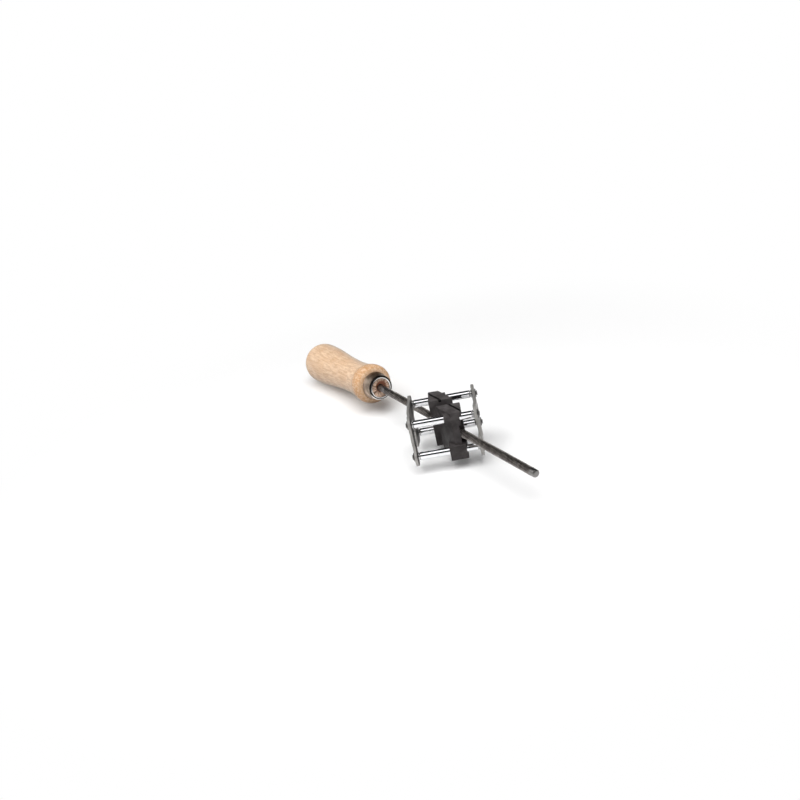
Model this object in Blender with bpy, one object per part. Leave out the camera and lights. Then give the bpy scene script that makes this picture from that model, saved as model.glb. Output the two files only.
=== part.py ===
"""A chainsaw file guide: a round file on a turned wooden handle runs through a pair of
moulded guides, which slide on four rollers between two pressed steel side plates.

The frame is drawn about its own middle: X runs along the rollers, Y across the saw's
bar and Z up. Lengths are in metres.
"""

from math import atan2, cos, hypot, pi, radians, sin

import bmesh
import bpy
from mathutils import Matrix, Vector

# Clearances and the one overrun that all cutters share
CLEARANCE = 0.0003
OVERRUN = 0.001

# Side plates: spacing, sheet and outline
PLATE_SPACING = 0.0405
PLATE_THICKNESS = 0.0020
TOP_ROLLER_Y = 0.0163
LOW_ROLLER_Y = 0.0180
ROLLER_Z = 0.0111
LOBE_RADIUS = 0.0062
WAIST_HALF_WIDTH = 0.0175
SLOT_HALF_WIDTH = 0.0062
SLOT_TOP_Z = -0.0010
SLOT_CORNER_RADIUS = 0.0020
FOOT_CORNER_RADIUS = 0.0032
TOP_DIP_Z = 0.0158
PLATE_BULGE = 0.0006
PAD_RADIUS = 0.0045
BULGE_BLEND = 0.0060
SHEET_GRID = 0.0035

# Rollers, their washers and their retaining clips
ROLLER_DIAMETER = 0.0052
ROLLER_END_CHAMFER = 0.0003
JOURNAL_DIAMETER = 0.0036
GROOVE_DIAMETER = 0.0025
GROOVE_WIDTH = 0.0012
ROLLER_HEAD_LENGTH = 0.0005
WASHER_DIAMETER = 0.0056
WASHER_THICKNESS = 0.0005
CLIP_DIAMETER = 0.0056
CLIP_THICKNESS = 0.0006
CLIP_RELIEF_DIAMETER = 0.0042
CLIP_MOUTH_DEG = 76.0
CLIP_STRETCHES = 7
CLIP_RELIEVED_STRETCHES = (1, 5)
CLIP_STRETCH_SHARE = 0.98

# Guides: plan corners measured from the file's crossing point
FILING_ANGLE_DEG = 30.0
GUIDE_SHIFT = 0.0018
GUIDE_NARROW_X = 0.0057
GUIDE_WIDE_X = 0.0104
CHANNEL_HALF_WIDTH = 0.0046
GUIDE_FRONT_Y = 0.0202
GUIDE_TOP_Z = 0.0160
GUIDE_LOW_Z = 0.0173
GUIDE_EDGE_RADIUS = 0.0005
BOSS_RADIUS = 0.0041
BOSS_NEAR_X = 0.0010
BOSS_FAR_X = 0.0090
SLAB_THICKNESS = 0.0026
FOOT_TOP_Z = -0.0066
FOOT_FRONT_Y = 0.0222
FOOT_CHAMFER = 0.0022
RELIEF_BACK_Y = 0.0125
RELIEF_SIDE = 0.0034
RELIEF_TOP_Z = 0.0068
SIGHT_GROOVE_WIDTH = 0.0009
SIGHT_GROOVE_DEPTH = 0.0006

# File
FILE_DIAMETER = 0.0052
FILE_LENGTH = 0.2000
FILE_REACH = 0.0986
FILE_AXIS_Z = -0.0012
FILE_NOSE_LENGTH = 0.0045
FILE_NOSE_DIAMETER = 0.0049
FILE_NOSE_CHAMFER = 0.0007
TANG_LENGTH = 0.0350
TANG_ROOT_DIAMETER = 0.0042
TANG_POINT_DIAMETER = 0.0020
TANG_SHOULDER = 0.0020

# Wooden handle and its ferrule, measured back from the handle's mouth
HANDLE_LENGTH = 0.1210
HANDLE_DIAMETER = 0.0322
COLLAR_DIAMETER = 0.0300
COLLAR_LENGTH = 0.0120
WAIST_DIAMETER = 0.0254
NECK_DIAMETER = 0.0166
NECK_LENGTH = 0.0092
MOUTH_DEPTH = 0.0030
HANDLE_DROOP_DEG = 3.5
FERRULE_LENGTH = 0.0100
FERRULE_WALL = 0.0012
FERRULE_BASE_DIAMETER = 0.0216
FERRULE_RIM_DIAMETER = 0.0186
FERRULE_RIM_LIP = 0.0011

# Facets
ROUND_STEPS = 24
SMALL_STEPS = 20
HANDLE_STEPS = 36
ARC_STEPS = 6
CLIP_STRETCH_STEPS = 2

FILE_ANGLE = radians(FILING_ANGLE_DEG)
FILE_DIRECTION = Vector((sin(FILE_ANGLE), -cos(FILE_ANGLE), 0.0))


def clear_scene():
    for thing in list(bpy.data.objects):
        bpy.data.objects.remove(thing, do_unlink=True)


def make_material(name, colour, metallic, roughness):
    material = bpy.data.materials.new(name)
    material.use_nodes = True
    shader = material.node_tree.nodes["Principled BSDF"]
    shader.inputs["Base Color"].default_value = (*colour, 1.0)
    shader.inputs["Metallic"].default_value = metallic
    shader.inputs["Roughness"].default_value = roughness
    return material


def add_empty(name, location, parent=None):
    empty = bpy.data.objects.new(name, None)
    bpy.context.scene.collection.objects.link(empty)
    empty.parent = parent
    empty.location = location
    return empty


def add_object(name, mesh, parent=None, location=(0.0, 0.0, 0.0)):
    thing = bpy.data.objects.new(name, mesh)
    bpy.context.scene.collection.objects.link(thing)
    thing.parent = parent
    thing.location = location
    return thing


def coated(mesh, material):
    """The mesh, with that material alone."""
    mesh.materials.clear()
    mesh.materials.append(material)
    return mesh


def finish_mesh(name, bm, smooth_below_deg=None):
    """Turns a bmesh into a mesh with its faces pointing out, shaded smooth up to an angle."""
    bmesh.ops.recalc_face_normals(bm, faces=bm.faces)
    mesh = bpy.data.meshes.new(name)
    bm.to_mesh(mesh)
    bm.free()
    if smooth_below_deg:
        mesh.shade_smooth()
        mesh.set_sharp_from_angle(angle=radians(smooth_below_deg))
    return mesh


def arc(centre_u, centre_v, radius, start_deg, end_deg, steps=ARC_STEPS):
    """Points of an arc, both ends included."""
    points = []
    for i in range(steps + 1):
        angle = radians(start_deg + (end_deg - start_deg) * i / steps)
        points.append((centre_u + radius * cos(angle), centre_v + radius * sin(angle)))
    return points


def curve_between(start, control, end, steps=ARC_STEPS):
    """Inner points of a quadratic curve, both ends left out."""
    points = []
    for i in range(1, steps):
        t = i / steps
        near, mid, far = (1 - t) ** 2, 2 * t * (1 - t), t**2
        points.append(tuple(near * a + mid * b + far * c for a, b, c in zip(start, control, end)))
    return points


def prism(bm, outline, low, high, axis="Z"):
    """Extrudes an outline along an axis. The outline's two values are the other two axes, in order."""
    def place(point, along):
        if axis == "X":
            return Vector((along, point[0], point[1]))
        return Vector((point[0], point[1], along))

    base = [bm.verts.new(place(point, low)) for point in outline]
    face = bm.faces.new(base)
    moved = bmesh.ops.extrude_face_region(bm, geom=[face])
    lift = place((0.0, 0.0), high - low)
    new_verts = [v for v in moved["geom"] if isinstance(v, bmesh.types.BMVert)]
    bmesh.ops.translate(bm, vec=lift, verts=new_verts)


def lathe(bm, profile, steps):
    """Turns (distance along X, radius) pairs about X. The first and last pair may lie on the axis."""
    rings = []
    for along, radius in profile:
        if radius == 0.0:
            rings.append([bm.verts.new((along, 0.0, 0.0))])
            continue
        ring = []
        for i in range(steps):
            angle = 2 * pi * i / steps
            ring.append(bm.verts.new((along, radius * cos(angle), radius * sin(angle))))
        rings.append(ring)
    closed = len(rings[0]) > 1
    pairs = list(zip(rings, rings[1:]))
    if closed:
        pairs.append((rings[-1], rings[0]))
    for first, second in pairs:
        for i in range(steps):
            j = (i + 1) % steps
            corners = [first[i % len(first)], second[i % len(second)]]
            corners += [second[j % len(second)], first[j % len(first)]]
            bm.faces.new(list(dict.fromkeys(corners)))


def turned_mesh(name, profile, steps, smooth_below_deg=35.0):
    bm = bmesh.new()
    lathe(bm, profile, steps)
    return finish_mesh(name, bm, smooth_below_deg)


def round_cutter(name, radius, start, end, steps=ROUND_STEPS):
    """A closed cylinder from one point to another, for cutting a bore."""
    start, end = Vector(start), Vector(end)
    bm = bmesh.new()
    length = (end - start).length
    lathe(bm, [(0.0, 0.0), (0.0, radius), (length, radius), (length, 0.0)], steps)
    turn = Vector((1.0, 0.0, 0.0)).rotation_difference(end - start).to_matrix().to_4x4()
    bmesh.ops.transform(bm, matrix=Matrix.Translation(start) @ turn, verts=bm.verts)
    return finish_mesh(name, bm)


def combine(mesh, others, operation):
    """The mesh after a Boolean with each of the others. The helpers are removed again."""
    body = add_object("body_helper", mesh)
    helpers = []
    for other in others:
        helper = add_object("boolean_helper", other)
        helper.hide_render = True
        helper.display_type = "WIRE"
        step = body.modifiers.new("step", "BOOLEAN")
        step.operation = operation
        step.solver = "EXACT"
        step.object = helper
        helpers.append(helper)
    bpy.context.view_layer.update()
    graph = bpy.context.evaluated_depsgraph_get()
    result = bpy.data.meshes.new_from_object(body.evaluated_get(graph))
    for helper in [body, *helpers]:
        bpy.data.objects.remove(helper, do_unlink=True)
    return result


def roller_places():
    """The rollers' names, and their Y and Z in the frame."""
    return {
        "rear_top": (TOP_ROLLER_Y, ROLLER_Z),
        "front_top": (-TOP_ROLLER_Y, ROLLER_Z),
        "front_bottom": (-LOW_ROLLER_Y, -ROLLER_Z),
        "rear_bottom": (LOW_ROLLER_Y, -ROLLER_Z),
    }


# Side plates


def plate_half_outline():
    """The plate's rear half in (Y, Z), from the slot's top round the foot and the lobes to the top dip."""
    foot_z = -ROLLER_Z - LOBE_RADIUS
    corner_y = SLOT_HALF_WIDTH - SLOT_CORNER_RADIUS
    corner_z = SLOT_TOP_Z - SLOT_CORNER_RADIUS
    points = arc(corner_y, corner_z, SLOT_CORNER_RADIUS, 90.0, 0.0)
    foot_y = SLOT_HALF_WIDTH + FOOT_CORNER_RADIUS
    points += arc(foot_y, foot_z + FOOT_CORNER_RADIUS, FOOT_CORNER_RADIUS, 180.0, 270.0)
    low_lobe = arc(LOW_ROLLER_Y, -ROLLER_Z, LOBE_RADIUS, -90.0, 35.0)
    top_lobe = arc(TOP_ROLLER_Y, ROLLER_Z, LOBE_RADIUS, -35.0, 125.0)
    waist_control = (2 * WAIST_HALF_WIDTH - (low_lobe[-1][0] + top_lobe[0][0]) / 2, FILE_AXIS_Z)
    dip_control = (top_lobe[-1][0] / 2, TOP_DIP_Z)
    points += low_lobe
    points += curve_between(low_lobe[-1], waist_control, top_lobe[0])
    points += top_lobe
    points += curve_between(top_lobe[-1], dip_control, (0.0, TOP_DIP_Z))
    return points


def plate_bulge(y, z):
    """How far the sheet is pressed outwards: nothing on the flat pads round the roller holes."""
    nearest = min(hypot(y - place[0], z - place[1]) for place in roller_places().values())
    share = min(max((nearest - PAD_RADIUS) / BULGE_BLEND, 0.0), 1.0)
    return PLATE_BULGE * share * share * (3.0 - 2.0 * share)


def plate_mesh():
    """A plate for the +X side, with its inner face at the plates' half spacing."""
    half = plate_half_outline()
    mirrored = [(-y, z) for y, z in reversed(half)]
    outline = half + [(0.0, TOP_DIP_Z)] + mirrored
    inner = PLATE_SPACING / 2
    outer = inner + PLATE_THICKNESS
    bm = bmesh.new()
    prism(bm, outline, inner, outer, axis="X")
    sheet = finish_mesh("sheet", bm)
    hole_radius = JOURNAL_DIAMETER / 2 + CLEARANCE
    holes = []
    for y, z in roller_places().values():
        inside, outside = (inner - OVERRUN, y, z), (outer + OVERRUN, y, z)
        holes.append(round_cutter("hole", hole_radius, inside, outside, SMALL_STEPS))
    pierced = combine(sheet, holes, "DIFFERENCE")

    bm = bmesh.new()
    bm.from_mesh(pierced)
    reach = LOW_ROLLER_Y + LOBE_RADIUS
    for axis, limit in ((Vector((0.0, 1.0, 0.0)), reach), (Vector((0.0, 0.0, 1.0)), ROLLER_Z + LOBE_RADIUS)):
        count = int(limit / SHEET_GRID)
        for i in range(-count, count + 1):
            everything = bm.verts[:] + bm.edges[:] + bm.faces[:]
            bmesh.ops.bisect_plane(bm, geom=everything, plane_co=axis * (i * SHEET_GRID), plane_no=axis)
    bmesh.ops.triangulate(bm, faces=bm.faces)
    for vert in bm.verts:
        vert.co.x += plate_bulge(vert.co.y, vert.co.z)
    return finish_mesh("side_plate", bm, 35.0)


# Rollers, washers and retaining clips


def roller_mesh():
    """Half profiles from both ends meet in the middle: head, clip groove, journal, shoulder, barrel."""
    barrel = ROLLER_DIAMETER / 2
    journal = JOURNAL_DIAMETER / 2
    groove = GROOVE_DIAMETER / 2
    shoulder_x = PLATE_SPACING / 2 - WASHER_THICKNESS - 2 * CLEARANCE
    groove_x = PLATE_SPACING / 2 + PLATE_THICKNESS
    head_x = groove_x + GROOVE_WIDTH
    end_x = head_x + ROLLER_HEAD_LENGTH
    right = [
        (shoulder_x - ROLLER_END_CHAMFER, barrel),
        (shoulder_x, barrel - ROLLER_END_CHAMFER),
        (shoulder_x, journal),
        (groove_x, journal),
        (groove_x, groove),
        (head_x, groove),
        (head_x, journal),
        (end_x, journal),
        (end_x, 0.0),
    ]
    left = [(-x, radius) for x, radius in reversed(right)]
    return turned_mesh("roller", left + right, SMALL_STEPS)


def washer_mesh():
    inner = JOURNAL_DIAMETER / 2 + CLEARANCE
    outer = WASHER_DIAMETER / 2
    half = WASHER_THICKNESS / 2
    return turned_mesh("washer", [(-half, inner), (half, inner), (half, outer), (-half, outer)], SMALL_STEPS)


def clip_mesh():
    """An open spring clip: three lugs grip the groove, with relieved stretches between them."""
    lug = GROOVE_DIAMETER / 2 + CLEARANCE
    relief = CLIP_RELIEF_DIAMETER / 2
    outer = CLIP_DIAMETER / 2
    half = CLIP_THICKNESS / 2
    start = CLIP_MOUTH_DEG / 2
    end = 360.0 - start
    stretch = (end - start) / CLIP_STRETCHES
    inner_points = []
    for i in range(CLIP_STRETCHES):
        radius = relief if i in CLIP_RELIEVED_STRETCHES else lug
        near = end - stretch * i
        far = near - stretch * CLIP_STRETCH_SHARE
        inner_points += arc(0.0, 0.0, radius, near, far, CLIP_STRETCH_STEPS)
    outline = arc(0.0, 0.0, outer, start, end, SMALL_STEPS) + inner_points
    bm = bmesh.new()
    prism(bm, outline, -half, half, axis="X")
    return finish_mesh("clip", bm, 35.0)


# Moulded guides


def slanted_x(offset, y):
    """X of the line that runs beside the file, the offset to its left, at a Y."""
    return (-offset - y * sin(FILE_ANGLE)) / cos(FILE_ANGLE)


def guide_mesh():
    """The front guide about the file's crossing point. The rear one is the same, turned half round."""
    near_y = -CHANNEL_HALF_WIDTH
    front_y = -GUIDE_FRONT_Y
    slant = slanted_x(0.0, near_y) + GUIDE_NARROW_X
    corner_x = slanted_x(0.0, front_y) - slant
    plan = [(-GUIDE_NARROW_X, near_y), (corner_x, front_y), (GUIDE_WIDE_X, front_y), (GUIDE_WIDE_X, near_y)]
    bm = bmesh.new()
    prism(bm, plan, -GUIDE_LOW_Z, GUIDE_TOP_Z)
    bmesh.ops.bevel(bm, geom=bm.edges[:], offset=GUIDE_EDGE_RADIUS, segments=1, affect="EDGES")
    block = finish_mesh("guide_block", bm)

    top_y, low_y = -TOP_ROLLER_Y, -LOW_ROLLER_Y
    boss = round_cutter("boss", BOSS_RADIUS, (-BOSS_NEAR_X, top_y, ROLLER_Z), (BOSS_FAR_X, top_y, ROLLER_Z))
    foot_z = -GUIDE_LOW_Z
    foot_front = -FOOT_FRONT_Y
    foot_back = -RELIEF_BACK_Y
    foot_side = [
        (foot_back, foot_z + GUIDE_EDGE_RADIUS),
        (foot_back, FOOT_TOP_Z),
        (foot_front, FOOT_TOP_Z),
        (foot_front, foot_z + GUIDE_EDGE_RADIUS + FOOT_CHAMFER / 2),
        (foot_front + FOOT_CHAMFER / 2, foot_z + GUIDE_EDGE_RADIUS),
    ]
    bm = bmesh.new()
    prism(bm, foot_side, -BOSS_NEAR_X, GUIDE_WIDE_X - GUIDE_EDGE_RADIUS, axis="X")
    foot = finish_mesh("guide_foot", bm)
    solid = combine(block, [boss, foot], "UNION")

    past_x = GUIDE_WIDE_X + OVERRUN
    past_y = foot_front - OVERRUN
    relief_plan = [
        (slanted_x(RELIEF_SIDE, -RELIEF_BACK_Y), -RELIEF_BACK_Y),
        (slanted_x(RELIEF_SIDE, past_y), past_y),
        (past_x + OVERRUN, past_y),
        (past_x + OVERRUN, -RELIEF_BACK_Y),
    ]
    bm = bmesh.new()
    prism(bm, relief_plan, FOOT_TOP_Z, RELIEF_TOP_Z)
    relief = finish_mesh("relief", bm)
    undercut_plan = [
        (BOSS_FAR_X, -RELIEF_BACK_Y - CLEARANCE),
        (BOSS_FAR_X, past_y),
        (past_x, past_y),
        (past_x, -RELIEF_BACK_Y - CLEARANCE),
    ]
    bm = bmesh.new()
    prism(bm, undercut_plan, RELIEF_TOP_Z - OVERRUN, GUIDE_TOP_Z - SLAB_THICKNESS)
    undercut = finish_mesh("undercut", bm)

    bore_radius = ROLLER_DIAMETER / 2 + CLEARANCE
    reach = 2 * GUIDE_WIDE_X
    bores = []
    for y, z in ((top_y, ROLLER_Z), (low_y, -ROLLER_Z)):
        bores.append(round_cutter("bore", bore_radius, (-reach, y, z), (reach, y, z)))
    along = FILE_DIRECTION * (2 * FOOT_FRONT_Y)
    middle = Vector((0.0, 0.0, FILE_AXIS_Z))
    file_bore = round_cutter("file_bore", FILE_DIAMETER / 2 + CLEARANCE, middle, middle + along)
    half = SIGHT_GROOVE_WIDTH / 2
    groove_outline = [
        (-half - SIGHT_GROOVE_DEPTH, GUIDE_TOP_Z + SIGHT_GROOVE_DEPTH),
        (half + SIGHT_GROOVE_DEPTH, GUIDE_TOP_Z + SIGHT_GROOVE_DEPTH),
        (half, GUIDE_TOP_Z - SIGHT_GROOVE_DEPTH),
        (-half, GUIDE_TOP_Z - SIGHT_GROOVE_DEPTH),
    ]
    bm = bmesh.new()
    prism(bm, groove_outline, 0.0, 2 * GUIDE_FRONT_Y, axis="X")
    turn = Matrix.Rotation(atan2(FILE_DIRECTION.y, FILE_DIRECTION.x), 4, "Z")
    bmesh.ops.transform(bm, matrix=turn, verts=bm.verts)
    groove = finish_mesh("sight_groove", bm)
    cut = combine(solid, [relief, undercut, *bores, file_bore, groove], "DIFFERENCE")
    cut.name = "guide"
    return cut


# File, ferrule and handle: each is turned about X, with its tip or mouth towards +X


def file_mesh():
    radius = FILE_DIAMETER / 2
    nose = FILE_NOSE_DIAMETER / 2
    shoulder_x = FILE_REACH - FILE_LENGTH
    profile = [
        (shoulder_x - TANG_LENGTH, 0.0),
        (shoulder_x - TANG_LENGTH, TANG_POINT_DIAMETER / 2),
        (shoulder_x - TANG_SHOULDER, TANG_ROOT_DIAMETER / 2),
        (shoulder_x, radius),
        (FILE_REACH - FILE_NOSE_LENGTH, radius),
        (FILE_REACH - FILE_NOSE_LENGTH, nose),
        (FILE_REACH - FILE_NOSE_CHAMFER, nose),
        (FILE_REACH, nose - FILE_NOSE_CHAMFER),
        (FILE_REACH, 0.0),
    ]
    return turned_mesh("file", profile, ROUND_STEPS)


def ferrule_mesh():
    """A steel cap ring: a tapering wall, a rolled front rim and an open mouth."""
    base = FERRULE_BASE_DIAMETER / 2
    rim = FERRULE_RIM_DIAMETER / 2
    bead = FERRULE_WALL / 2
    bore = NECK_DIAMETER / 2 + CLEARANCE
    back = -NECK_LENGTH + CLEARANCE
    front = back + FERRULE_LENGTH
    lip = rim - FERRULE_WALL - FERRULE_RIM_LIP
    profile = [(back, base), (back, bore), (CLEARANCE, bore), (CLEARANCE, lip)]
    profile += [(front - bead / 2, lip), (front, lip + bead / 2), (front, rim - bead)]
    profile += [(front - bead / 2, rim - bead / 4), (front - bead, rim), (front - 2 * bead, rim)]
    return turned_mesh("ferrule", list(reversed(profile)), HANDLE_STEPS)


COLLAR_SHARES = [(0.0, 0.77), (0.10, 0.90), (0.26, 0.975), (0.46, 1.0), (0.74, 0.985), (1.0, 0.94)]
BODY_SHARES = [(0.0, 0.40), (0.12, 0.10), (0.24, 0.0), (0.36, 0.04)]
BODY_SHARES += [(0.50, 0.22), (0.64, 0.50), (0.78, 0.80), (0.90, 0.96)]


def tang_bore_mesh():
    """The hole for the tang, drilled along the file's line and so a little crooked in the handle."""
    shoulder_x = -MOUTH_DEPTH
    end_x = shoulder_x - TANG_LENGTH
    profile = [
        (end_x - CLEARANCE, 0.0),
        (end_x - CLEARANCE, TANG_POINT_DIAMETER / 2 + CLEARANCE),
        (shoulder_x - TANG_SHOULDER, TANG_ROOT_DIAMETER / 2 + CLEARANCE),
        (shoulder_x - CLEARANCE, FILE_DIAMETER / 2 + CLEARANCE),
        (2 * OVERRUN, FILE_DIAMETER / 2 + CLEARANCE),
        (2 * OVERRUN, 0.0),
    ]
    bm = bmesh.new()
    lathe(bm, profile, ROUND_STEPS)
    bmesh.ops.transform(bm, matrix=Matrix.Rotation(radians(HANDLE_DROOP_DEG), 4, "Y"), verts=bm.verts)
    return finish_mesh("tang_bore", bm)


def handle_mesh():
    """The turned wood: neck under the ferrule, collar bulge, waist, palm swell and round butt."""
    palm = HANDLE_DIAMETER / 2
    collar = COLLAR_DIAMETER / 2
    waist = WAIST_DIAMETER / 2
    neck = NECK_DIAMETER / 2
    butt_x = -HANDLE_LENGTH + palm
    collar_x = -NECK_LENGTH
    body_x = collar_x - COLLAR_LENGTH
    profile = [(0.0, 0.0), (0.0, neck), (collar_x, neck)]
    profile += [(collar_x - share * COLLAR_LENGTH, size * collar) for share, size in COLLAR_SHARES]
    swell = palm - waist
    profile += [(body_x + share * (butt_x - body_x), waist + size * swell) for share, size in BODY_SHARES]
    for i in range(ARC_STEPS * 2):
        angle = pi / 2 * i / (ARC_STEPS * 2)
        profile.append((butt_x - palm * sin(angle), palm * cos(angle)))
    profile.append((-HANDLE_LENGTH, 0.0))
    wood = turned_mesh("handle_wood", list(reversed(profile)), HANDLE_STEPS)
    bored = combine(wood, [tang_bore_mesh()], "DIFFERENCE")
    bored.name = "handle"
    return bored


def build():
    clear_scene()
    steel = make_material("pressed steel", (0.42, 0.41, 0.40), 1.0, 0.35)
    chrome = make_material("polished steel", (0.75, 0.75, 0.76), 1.0, 0.12)
    dark_steel = make_material("spring steel", (0.06, 0.06, 0.06), 1.0, 0.45)
    plastic = make_material("black plastic", (0.045, 0.042, 0.042), 0.0, 0.55)
    file_steel = make_material("file steel", (0.13, 0.115, 0.10), 1.0, 0.5)
    ferrule_steel = make_material("ferrule steel", (0.30, 0.28, 0.26), 1.0, 0.3)
    wood = make_material("beech", (0.72, 0.52, 0.33), 0.0, 0.55)

    tool = add_empty("tool", (0.0, 0.0, 0.0))
    frame = add_empty("guide_frame", (0.0, 0.0, 0.0), tool)

    plate = coated(plate_mesh(), steel)
    add_object("right_side_plate", plate, frame)
    left_plate = add_object("left_side_plate", plate, frame)
    left_plate.rotation_euler = (0.0, 0.0, pi)

    roller = coated(roller_mesh(), chrome)
    washer = coated(washer_mesh(), steel)
    clip = coated(clip_mesh(), dark_steel)
    washer_x = PLATE_SPACING / 2 - CLEARANCE - WASHER_THICKNESS / 2
    clip_x = PLATE_SPACING / 2 + PLATE_THICKNESS + GROOVE_WIDTH / 2
    for name, (y, z) in roller_places().items():
        axle = add_empty(f"{name}_axis", (0.0, y, z), frame)
        add_object(f"roller_{name}", roller, axle)
        for side, sign in (("left", -1.0), ("right", 1.0)):
            add_object(f"washer_{name}_{side}", washer, axle, (sign * washer_x, 0.0, 0.0))
            add_object(f"clip_{name}_{side}", clip, axle, (sign * clip_x, 0.0, 0.0))

    carriage = add_empty("guide_pair", (GUIDE_SHIFT, 0.0, 0.0), frame)
    guide = coated(guide_mesh(), plastic)
    add_object("front_guide_block", guide, carriage)
    rear_guide = add_object("rear_guide_block", guide, carriage)
    rear_guide.rotation_euler = (0.0, 0.0, pi)

    file_axis = add_empty("file_axis", (0.0, 0.0, FILE_AXIS_Z), carriage)
    file_axis.rotation_euler = (0.0, 0.0, atan2(FILE_DIRECTION.y, FILE_DIRECTION.x))
    add_object("round_file", coated(file_mesh(), file_steel), file_axis)
    mouth_x = FILE_REACH - FILE_LENGTH + MOUTH_DEPTH
    grip = add_empty("grip_axis", (mouth_x, 0.0, 0.0), file_axis)
    grip.rotation_euler = (0.0, radians(-HANDLE_DROOP_DEG), 0.0)
    add_object("ferrule", coated(ferrule_mesh(), ferrule_steel), grip)
    add_object("handle", coated(handle_mesh(), wood), grip)

    stand_on_origin(tool)


def stand_on_origin(tool):
    """Moves the whole tool so that the middle of its underside is at the origin."""
    bpy.context.view_layer.update()
    corners = []
    for thing in bpy.context.scene.objects:
        if thing.type == "MESH":
            corners += [thing.matrix_world @ vert.co for vert in thing.data.vertices]
    lows = [min(corner[i] for corner in corners) for i in range(3)]
    highs = [max(corner[i] for corner in corners) for i in range(3)]
    tool.location = (-(lows[0] + highs[0]) / 2, -(lows[1] + highs[1]) / 2, -lows[2])
    bpy.context.view_layer.update()


build()
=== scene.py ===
from math import atan2, ceil, cos, hypot, pi, radians, sin

import bmesh
import bpy
from mathutils import Matrix, Vector


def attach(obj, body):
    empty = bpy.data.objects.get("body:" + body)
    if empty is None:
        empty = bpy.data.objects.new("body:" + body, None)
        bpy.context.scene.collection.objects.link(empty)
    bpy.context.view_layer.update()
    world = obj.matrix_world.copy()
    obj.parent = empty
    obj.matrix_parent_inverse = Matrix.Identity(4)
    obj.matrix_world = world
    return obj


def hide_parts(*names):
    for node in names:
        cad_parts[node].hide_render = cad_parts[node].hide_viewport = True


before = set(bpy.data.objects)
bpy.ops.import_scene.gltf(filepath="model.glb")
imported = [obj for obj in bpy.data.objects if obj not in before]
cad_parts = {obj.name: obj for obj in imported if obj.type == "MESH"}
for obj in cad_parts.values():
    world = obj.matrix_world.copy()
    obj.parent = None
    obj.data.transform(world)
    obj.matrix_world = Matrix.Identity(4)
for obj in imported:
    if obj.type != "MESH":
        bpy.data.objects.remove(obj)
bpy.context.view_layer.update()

# Side plates
# Two plates of pressed and nickel-plated sheet steel hold the rollers and stand astride the work.
# Each has four flat pads round its roller holes, a body bulged outwards and a slot open below.
FRAME_MIDDLE = Vector((0.031486, -0.052859, 0.023674))
PLATE_SPACING = 0.0405
SHEET = 0.0020
TOP_ROLLER_Y = 0.0163
LOW_ROLLER_Y = 0.0180
ROLLER_Z = 0.0111
LOBE = 0.0061
WAIST_Y = 0.0175
WAIST_Z = -0.0012
SLOT_Y = 0.0062
SLOT_TOP = -0.0010
SLOT_CORNER = 0.0020
FOOT_CORNER = 0.0032
DIP_Z = 0.0158
BULGE = 0.0006
BULGE_BLEND = 0.0060
PAD = 0.0045
SHEARED_EDGE = 0.00030
JOURNAL = 0.0036
PLAY = 0.0003
EDGE_STEPS = 14
HOLE_STEPS = 40
DIVISION = 0.0012
DIVIDED_Y = 0.025
DIVIDED_Z = 0.018
SAME_PLACE = 0.0000001
ROLLER_PLACES = {
    "rear_top": (TOP_ROLLER_Y, ROLLER_Z),
    "front_top": (-TOP_ROLLER_Y, ROLLER_Z),
    "front_bottom": (-LOW_ROLLER_Y, -ROLLER_Z),
    "rear_bottom": (LOW_ROLLER_Y, -ROLLER_Z),
}


def plate_outline():
    """The plate's whole edge in (Y, Z), drawn for the rear half and mirrored."""
    def arc(y, z, radius, start, end):
        turn = (end - start) / EDGE_STEPS
        angles = [radians(start + turn * i) for i in range(EDGE_STEPS + 1)]
        return [(y + radius * cos(a), z + radius * sin(a)) for a in angles]

    def bow(start, control, end):
        shares = [i / EDGE_STEPS for i in range(1, EDGE_STEPS)]
        return [
            tuple((1 - t) ** 2 * a + 2 * t * (1 - t) * b + t * t * c for a, b, c in zip(start, control, end))
            for t in shares
        ]

    foot_z = -ROLLER_Z - LOBE
    half = arc(SLOT_Y - SLOT_CORNER, SLOT_TOP - SLOT_CORNER, SLOT_CORNER, 90.0, 0.0)
    half += arc(SLOT_Y + FOOT_CORNER, foot_z + FOOT_CORNER, FOOT_CORNER, 180.0, 270.0)
    low = arc(LOW_ROLLER_Y, -ROLLER_Z, LOBE, -90.0, 35.0)
    top = arc(TOP_ROLLER_Y, ROLLER_Z, LOBE, -35.0, 125.0)
    waist = (2 * WAIST_Y - (low[-1][0] + top[0][0]) / 2, WAIST_Z)
    half += low + bow(low[-1], waist, top[0]) + top
    half += bow(top[-1], (top[-1][0] / 2, DIP_Z), (0.0, DIP_Z))
    return half + [(0.0, DIP_Z)] + [(-y, z) for y, z in reversed(half)]


def inset(loop, distance):
    """A closed loop of (Y, Z) points moved to its left."""
    moved = []
    for before, here, after in zip(loop[-1:] + loop[:-1], loop, loop[1:] + loop[:1]):
        run, rise = after[0] - before[0], after[1] - before[1]
        length = hypot(run, rise)
        moved.append((here[0] - rise / length * distance, here[1] + run / length * distance))
    return moved


def plate_bulge(y, z):
    nearest = min(hypot(y - place[0], z - place[1]) for place in ROLLER_PLACES.values())
    share = min(max((nearest - PAD) / BULGE_BLEND, 0.0), 1.0)
    return BULGE * share * share * (3.0 - 2.0 * share)


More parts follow.
